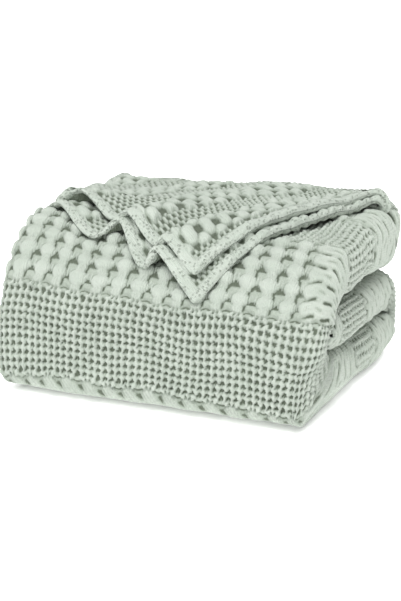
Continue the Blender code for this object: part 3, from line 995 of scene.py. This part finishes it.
# %% The two faces of a loose layer
def skins(points, normal, height, tone, e, half=SIDE_HALF, along=0.0, beads=0.0):
    """A layer's upper and lower surface: a rolled hem within HEM of its edges, and the relief past it."""
    away = smooth(0.92 * HEM, 1.15 * HEM, e)
    rolled_hem = hem_profile(e, half, along, beads) * (1 + 0.14 * swell_small(points))
    height = height * (1 + 0.10 * loft(points))
    top = np.maximum(mix(rolled_hem, CLOTH / 2 + height - SINK, away), 0.0002) + slow_rise(points)
    bottom = np.maximum(mix(rolled_hem, 0.0021 + 0.25 * height, away), 0.0002) - slow_rise(points)
    # a line of painted shade along the crease beside the hem
    tone = mix(1 - 0.25 * np.exp(-((e - HEM) / 0.0012) ** 2), tone, away)
    hem_value = 1 - smooth(0.92 * HEM, 1.02 * HEM, e)
    return points + normal * top[..., None], points - normal * bottom[..., None], tone, hem_value


# %% [markdown]
# ## The flap's two layers
#
# Each loose layer gets an upper and a lower skin, because both faces show at its hems. The lower one is
# coarser. Round the fold on the right, and close to the last fold, the flap's weave passes into the strip's.

# %% A loose layer with its hems
# painted shade: the flap's underside faces the block, so its tone is cut to this share away from the hems
UNDERSIDE_SHADE = 0.22  # the flap's underside shows the hollows of its weave, which are darker
ROOT_RELIEF = 0.5  # the relief is pressed down where the flap leaves the last fold


def strip_weave(points, stations, past):
    """The strip's weave past the start of its last fold: past is the distance over the flap."""
    arc = mix(wide_along[-1], tight_along[-1], stations[None, :, 2])
    return block_weave(*drifted(points, stations[None, :, 3] + 0 * past, -arc - past))


def from_edges(points):
    """Each place's distance from the side hem, the first column, and from the front hem, the last row."""
    return np.linalg.norm(points - points[:, :1], axis=2), np.linalg.norm(points - points[-1:], axis=2)


def loose_skins(name, stations, loose_count, share, layer_sizes, beads):
    """A loose layer's upper and lower skin, with a rolled hem along its side and its front."""
    x, distance, lift = flap_places(stations, loose_count, share, *layer_sizes)
    points = settle(over_block(x, distance, lift)) - CENTRING
    near_hem = smooth(0.030, 0.005, (1 - share[:, None]) * hem_round(layer_sizes[1], 0))
    points[..., 2] -= 0.0035 * smooth(0.140, 0.190, x) * near_hem  # the front hem lies lower at its right end
    points = round_corner(points, *from_edges(points))
    normal = normals_of(points)
    normal *= np.sign(normal[len(share) // 2, loose_count // 2, 2])
    past_fold = np.maximum(stations[None, :, 3] - stations[loose_count - 1, 3], 0)
    a, b = askew(x.clip(None, RIGHT_X) + past_fold, distance, layer_sizes[0][-1])
    side, front = from_edges(points)
    front = np.minimum(np.maximum(b, 0), front)
    e = np.minimum(front, side)
    height, tone = flap_weave(*drifted(points, a, b))
    to_strip = np.maximum(smooth(0.0, 0.020, past_fold), 1 - smooth(0.002, 0.025, distance))
    strip = strip_weave(points, stations, distance)
    height, tone = mix(height, ROOT_RELIEF * strip[0], to_strip), mix(tone, strip[1], to_strip)
    half = mix(SIDE_HALF, FRONT_HALF * (1 + 0.2 * beads), smooth(-0.010, 0.010, side - front))
    half = mix(half, 0.82 * half, smooth(-0.020, 0.015, x - RIGHT_X))  # thinner round the fold on the right
    upper, lower, tone, hem_value = skins(points, normal, height, tone, e, half, a, beads)
    uv = np.stack([a, b], axis=-1).reshape(-1, 2)
    grid = np.arange(a.size).reshape(a.shape)
    # the lower skin is painted darker away from its hems: painted shade
    underside_shade = tone * mix(UNDERSIDE_SHADE, 1, hem_value)
    for label, skin, faces, shown in (("upper", upper, grid_faces(grid)[:, ::-1], tone),
                                      ("lower", lower, grid_faces(grid[::2, ::2]), underside_shade)):
        piece = make_piece(name + "_" + label, skin.reshape(-1, 3), faces, uv, shown.ravel(), hem_value.ravel())
        dress(piece)


# %% Stations of a loose layer
hem_steps = HEM * np.array([0, 0.2, 0.7, 1.5, 2.6, 4.0, 5.4, 6.8, 8.2, 9.6, 10.8, 11.5, 12.0, 12.6, 13.6]) / 12


def loose_stations(layer, following, bulge, step):
    """Stations from a loose layer's side hem to its fold on the right and a little of the layer after it."""
    flat_run = flat(layer, 0.0, 1.0, step)
    inner = flat_run[flat_run[:, 0] > 0.044]
    hem_run = np.repeat(flat_run[:1], len(hem_steps), axis=0)
    hem_run[:, 0] = hem_steps / FLAP_WIDTH
    flat_run = np.concatenate([hem_run, inner])
    count = len(flat_run)
    runs = [flat_run, fold(layer, following, bulge, FLAP_STACK, step, 0.85),
            flat(following, 1.0, TUCKED, 0.004)]
    return across_run(*runs, thickness=FLAP_STACK, start=LEFT_X), count


# %% The two layers
shares = spaced((0, 0.86, 0.0044), (0.86, 0.955, 0.0038), (0.955, 1, 0.0025))  # rows, closer at the front hem
top_sizes = TOP_ROWS, TOP_END, TOP_REST, TOP_FALL, TOP_PRESSED
under_sizes = UNDER_ROWS, UNDER_END, UNDER_REST, UNDER_FALL, UNDER_PRESSED
top_stations, top_count = loose_stations(1, 8, RIGHT_BULGE, 0.00145)
loose_skins("flap", top_stations, top_count, shares, top_sizes, 0.0)
under_stations, under_count = loose_stations(2, 7, RIGHT_BULGE * 5 / 7, 0.0021)
loose_skins("under_flap", under_stations, under_count, shares, under_sizes, BEAD_DEPTH)

# %% [markdown]
# ## The last fold
#
# At the back the strip turns over once more before its two loose layers run on as the flap. Only its outside
# shows, so it is one more grid between the last fold's two lines, with the weave at the same distances.

# %% The last fold
def last_fold(stations, places):
    """The strip round its last fold, where the folds on the right swell out less and less."""
    lines = sampled(tight, wide_along, places), sampled(wide, wide_along, places)
    less = mix(1, FLAP_SWELL, smooth(0.25, 0.95, places / wide_along[-1]))
    swollen = rolled(stations, *lines)
    flat_stations = stations.copy()
    flat_stations[:, 1] = 0
    return mix(rolled(flat_stations, *lines), swollen, less[:, None, None]) - CENTRING


wide_places = spaced((0, wide_along[-1], 0.0021))
last = last_fold(top_stations, wide_places)
last_normal = -normals_of(last)
last_normal[-1] = (0, 0, 1)
arc = mix(wide_places[:, None], tight_along[-1] * wide_places[:, None] / wide_along[-1], top_stations[None, :, 2])
height, tone = block_weave(*drifted(last, top_stations[None, :, 3] + 0 * arc, -arc))
side = np.linalg.norm(last - last[:, :1], axis=2)
height = height * mix(1, ROOT_RELIEF, smooth(0.35, 0.95, wide_places / wide_along[-1]))[:, None]
last_upper, _, tone, hem_value = skins(last, last_normal, height, tone, side)
last_index = np.arange(arc.size).reshape(arc.shape)
last_uv = np.stack(np.broadcast_arrays(top_stations[None, :, 3], -arc), axis=-1).reshape(-1, 2)
last_piece = make_piece("back_over_fold", last_upper.reshape(-1, 3), grid_faces(last_index)[:, ::-1],
                        last_uv, tone.ravel(), hem_value.ravel())
dress(last_piece)


# %% [markdown]
# ## The left end
#
# On the left the strip shows how it was folded: the outer folds, the ones inside them, and the two free side
# hems between them. Each is a narrow grid along the roll, coarser than the skin, because it lies in shadow.

# %% Rows along the roll
def all_rows(stations):
    """The strip's grid from its inner end to the end of its last fold, coarser than the skin."""
    coarse = spaced((0, 0.012, 0.0015), (0.012, ROLL, 0.0042))
    roll_part = rolled(stations, *strip_lines(coarse)) - CENTRING
    last_part = last_fold(stations, spaced((0, wide_along[-1], 0.004)))
    return np.concatenate([roll_part, last_part[1:]])


def last_rows(stations):
    """The same for the last fold and a little of the strip before it, under the end of the outer folds."""
    before = rolled(stations, *strip_lines(spaced((ROLL - 0.018, ROLL, 0.003)))) - CENTRING
    return np.concatenate([before, last_fold(stations, spaced((0, wide_along[-1], 0.003)))[1:]])


# %% A fold on the left
def left_fold(name, layer, following, rows):
    """One of the folds on the left that the roll's outer skin does not cover."""
    reach = LEFT_BULGE * abs(following - layer) / 3
    runs = [flat(following, 0.07, 0.0, 0.006), fold(layer, following, -reach, STRIP_THICKNESS, 0.0011)[::-1],
            flat(layer, 0.0, 0.07, 0.006)]
    stations = across_run(*runs, thickness=STRIP_THICKNESS, start=LEFT_X)
    grid = rows(stations)
    normal = normals_of(grid)
    u, along = stations[None, :, 3], lengths(grid[:, len(stations) // 2])
    height, tone = block_weave(u + 0 * along[:, None], along[:, None] + 0 * u)
    surface = grid + normal * (CLOTH / 2 - 0.0014 + 0.45 * height)[..., None]
    number = np.arange(tone.size).reshape(tone.shape)
    uv = np.stack(np.broadcast_arrays(u, along[:, None]), axis=-1).reshape(-1, 2)
    piece = make_piece(name, surface.reshape(-1, 3), grid_faces(number), uv, tone.ravel(), 0 * tone.ravel())
    dress(piece)


# %% A free side hem
HEM_SHOWN = 0.035  # how far in from its edge a free hem is built


def free_edge(name, layer):
    """The hem of a layer that ends on the left, with both its faces for HEM_SHOWN in from the edge."""
    inner = [HEM_SHOWN, 0.024, 0.016]
    ins = np.concatenate([inner, hem_steps[::-1], hem_steps[1:], inner[::-1]])
    half_count = len(inner) + len(hem_steps) - 1
    side = np.repeat([-1.0, 0.0, 1.0], [half_count, 1, half_count])
    stations = np.zeros((len(ins), 3))
    stations[:, 0], stations[:, 2] = ins / (RIGHT_X - LEFT_X) - 0.006, (layer - 1) / LAST
    grid = all_rows(stations)
    guide = np.zeros((3, 3))
    guide[:, 0], guide[:, 2] = (0.0, 0.03, 0.06), (layer - 1) / LAST
    normal = normals_of(all_rows(guide))[:, 1:2]
    thick = mix(hem_profile(ins), 0.0012, smooth(0.92 * HEM, 1.15 * HEM, ins)) * side
    surface = grid + normal * (thick[None, :, None] * (1 + 0.18 * swell_small(grid))[..., None])
    surface = surface + normal * (0.0008 * swell_wide(grid))[..., None]
    number = np.arange(thick.size * len(grid)).reshape(grid.shape[:2])
    # a line of painted shade along the crease beside the hem
    tone = np.broadcast_to(1 - 0.35 * np.exp(-((ins - HEM) / 0.0015) ** 2), number.shape)
    along = lengths(grid[:, 0])
    uv = np.stack(np.broadcast_arrays(ins[None, :], along[:, None]), axis=-1).reshape(-1, 2)
    round_it = np.concatenate([number, number[:, :1]], axis=1)
    piece = make_piece(name, surface.reshape(-1, 3), grid_faces(round_it), uv, tone.ravel(),
                       np.broadcast_to(1.0 * (ins < HEM), number.shape).ravel())
    dress(piece)


# %% The pieces of the left end
left_fold("left_inner_folds", 4, 3, all_rows)
left_fold("left_last_fold", 5, 8, last_rows)
free_edge("left_hem_first", 1)
free_edge("left_hem_second", 2)

# %% [markdown]
# ## Floor and light
#
# The block lies on a white floor in a white room, so its shadow is faint. The floor glows a little to stay
# white, and the glow fades within about a centimetre of the cloth, which paints the thin dark line of a
# contact shadow. One large soft light comes from above and in front, and the white world fills the shadows.

# %% The floor
floor_mesh = bpy.data.meshes.new("floor")
floor_mesh.from_pydata([(-30, -30, 0), (30, -30, 0), (30, 30, 0), (-30, 30, 0)], [], [(0, 1, 2, 3)])
floor = bpy.data.objects.new("floor", floor_mesh)
floor.location.z = -0.0003
bpy.context.scene.collection.objects.link(floor)
paper = bpy.data.materials.new("pale_floor")
paper.use_nodes = True
surface = paper.node_tree.nodes["Principled BSDF"]
surface.inputs["Base Color"].default_value = (0.93, 0.93, 0.93, 1)
surface.inputs["Roughness"].default_value = 0.9
surface.inputs["Emission Strength"].default_value = 0.7
# painted contact shadow on the floor
near = paper.node_tree.nodes.new("ShaderNodeAmbientOcclusion")  # darkens the glow where the block touches down
near.inputs["Distance"].default_value = 0.011
paper.node_tree.links.new(near.outputs["Color"], surface.inputs["Emission Color"])
floor_mesh.materials.append(paper)

# %% The light
world = bpy.data.worlds.new("studio")
world.use_nodes = True
world.node_tree.nodes["Background"].inputs["Color"].default_value = (1, 1, 1, 1)
world.node_tree.nodes["Background"].inputs["Strength"].default_value = 0.55
bpy.context.scene.world = world


def distant_light(name, place, spread, power):
    """A soft light from far away, from the direction of place."""
    data = bpy.data.lights.new(name, "SUN")
    data.angle = math.radians(spread)
    data.energy = power
    lamp = bpy.data.objects.new(name, data)
    lamp.rotation_mode = "QUATERNION"
    lamp.rotation_quaternion = (-Vector(place)).to_track_quat("-Z", "Y")
    bpy.context.scene.collection.objects.link(lamp)


distant_light("key", (0.10, -0.72, 1.6), 35, 2.8)
bpy.context.scene.view_settings.view_transform = "Standard"
